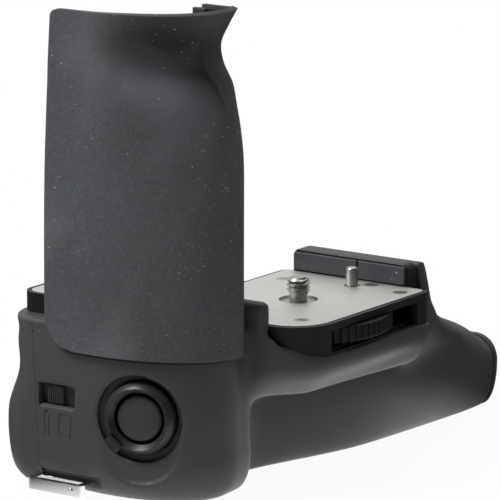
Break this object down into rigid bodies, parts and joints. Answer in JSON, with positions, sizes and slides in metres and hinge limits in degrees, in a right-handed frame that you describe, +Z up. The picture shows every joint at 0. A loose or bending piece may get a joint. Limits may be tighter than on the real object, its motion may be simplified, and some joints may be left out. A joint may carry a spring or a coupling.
{
  "type": "battery holder",
  "caption": "L-shaped camera battery holder: a block with a release button and a tall hand panel, a camera seat with a tripod screw, and a grip bar whose tray slides out.",
  "frame": {"origin": "on the axis of the tripod screw, level with the top face of the camera plate", "axes": "+Z up along the tripod screw, +X from the thumb side to the finger side, +Y along the grip bar away from the release button"},
  "size_m": [0.0851, 0.1538, 0.1288],
  "materials": {
    "housing": "satin",
    "steel_screws": "satin",
    "plate_metal": "satin",
    "bright_steel": "polished",
    "wheel_plastic": "satin",
    "pad_rubber": "matte",
    "gold_contacts": "polished",
    "grip_rubber": "matte",
    "ring_gloss": "gloss",
    "spring_steel": "satin",
    "lug_chrome": "polished",
    "cell_wrap": "gloss",
    "board_green": "gloss",
    "brass_bush": "satin"
  },
  "bodies": {
    "base": {"grip_body": "housing", "rear_shell": "housing", "shell_screws": "steel_screws", "seat_frame": "housing", "seat_base": "housing", "camera_plate": "plate_metal", "plate_screws": "steel_screws", "wheel_washer": "bright_steel", "locating_pin": "bright_steel", "near_rail": "housing", "fence_insert": "housing", "fence_pad_1": "pad_rubber", "fence_pad_2": "pad_rubber", "contact_tower": "wheel_plastic", "tower_plate": "plate_metal", "panel_skin": "grip_rubber", "panel_core": "wheel_plastic", "panel_bracket": "plate_metal", "bracket_screws": "steel_screws", "button_housing": "wheel_plastic", "button_spring": "spring_steel", "shutter_switch": "ring_gloss", "selector_switch": "ring_gloss", "strap_lug": "lug_chrome", "lug_rivet": "lug_chrome", "chamber_contacts": "gold_contacts", "circuit_board": "board_green", "board_chips": "ring_gloss", "board_screws": "steel_screws", "tripod_bush": "brass_bush"},
    "wheel": {"thumbwheel": "wheel_plastic", "tripod_screw": "bright_steel"},
    "release": {"release_button": "ring_gloss"},
    "ring": {"lock_ring": "ring_gloss"},
    "selector": {"selector_knob": "wheel_plastic"},
    "contact_row": {"contact_pins": "gold_contacts"},
    "tray": {"battery_tray": "wheel_plastic", "aa_cell_1": "cell_wrap", "aa_cell_2": "cell_wrap", "aa_cell_3": "cell_wrap", "aa_cell_4": "cell_wrap", "tray_springs": "spring_steel", "tray_terminals": "gold_contacts", "tray_link": "spring_steel", "end_cap": "housing", "cap_seal": "pad_rubber"},
    "cap_lock": {"lock_knob": "wheel_plastic"}
  },
  "joints": [
    {"name": "thumbwheel_turn", "type": "hinge", "parent": "base", "child": "wheel", "pos_m": [0, 0, 0], "axis": [0, 0, 1], "continuous": true},
    {"name": "release_press", "type": "slide", "parent": "base", "child": "release", "axis": [-0.2756, 0.9613, 0], "range_m": [0, 0.0011], "stiffness_N_per_m": 900},
    {"name": "lock_ring_turn", "type": "hinge", "parent": "base", "child": "ring", "pos_m": [-0.0119, -0.0558, -0.0231], "axis": [0.2756, -0.9613, 0], "range_deg": [0, 35]},
    {"name": "selector_slide", "type": "slide", "parent": "base", "child": "selector", "axis": [1, 0, 0], "range_m": [0, 0.0041]},
    {"name": "contact_press", "type": "slide", "parent": "base", "child": "contact_row", "axis": [0, 0, -1], "range_m": [0, 0.001], "stiffness_N_per_m": 800},
    {"name": "tray_slide", "type": "slide", "parent": "base", "child": "tray", "axis": [0, 1, 0], "range_m": [0, 0.11]},
    {"name": "cap_lock_turn", "type": "hinge", "parent": "tray", "child": "cap_lock", "pos_m": [-0.027, 0.0889, -0.0366], "axis": [0, 1, 0], "range_deg": [0, 90]}
  ]
}
